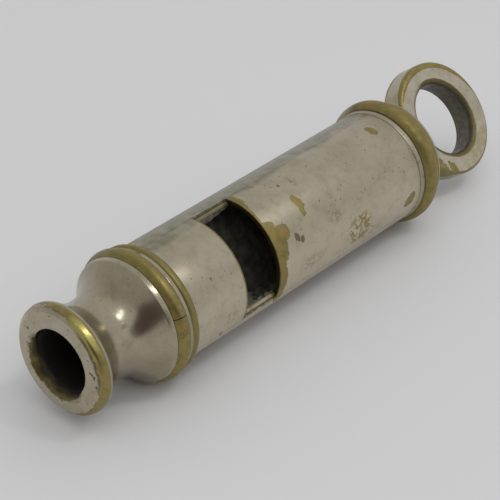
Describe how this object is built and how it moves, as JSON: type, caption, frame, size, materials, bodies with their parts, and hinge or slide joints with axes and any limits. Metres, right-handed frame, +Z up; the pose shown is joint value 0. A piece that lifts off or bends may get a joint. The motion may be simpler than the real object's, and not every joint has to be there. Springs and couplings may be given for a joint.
{
  "type": "two-chamber tube whistle",
  "caption": "Pea-less metal tube whistle with a flared mouthpiece, opposed side windows over a divided barrel, and a flat hanging ring.",
  "frame": {"origin": "centre of the bounding box's base: the whistle lies on its collar and its cap bead, on the surface at z = 0", "axes": "+Y along the whistle's axis from the mouthpiece towards the hanging loop, +Z up, +X to the side that the first window leans towards"},
  "size_m": [0.018, 0.084, 0.0179],
  "materials": {
    "nickel_plate": "dull nickel plating worn through to brass along edges and beads",
    "collar_brass": "worn, hand-dulled brass",
    "inner_brass": "unplated brass, dark with age"
  },
  "bodies": {
    "root": {"mouthpiece": "nickel_plate", "collar_ring": "collar_brass", "barrel_tube": "nickel_plate", "divider_plate": "inner_brass", "voicing_block_first": "inner_brass", "voicing_block_second": "inner_brass", "chamber_stop": "inner_brass", "top_cap": "nickel_plate", "hanging_loop": "nickel_plate"}
  },
  "joints": []
}
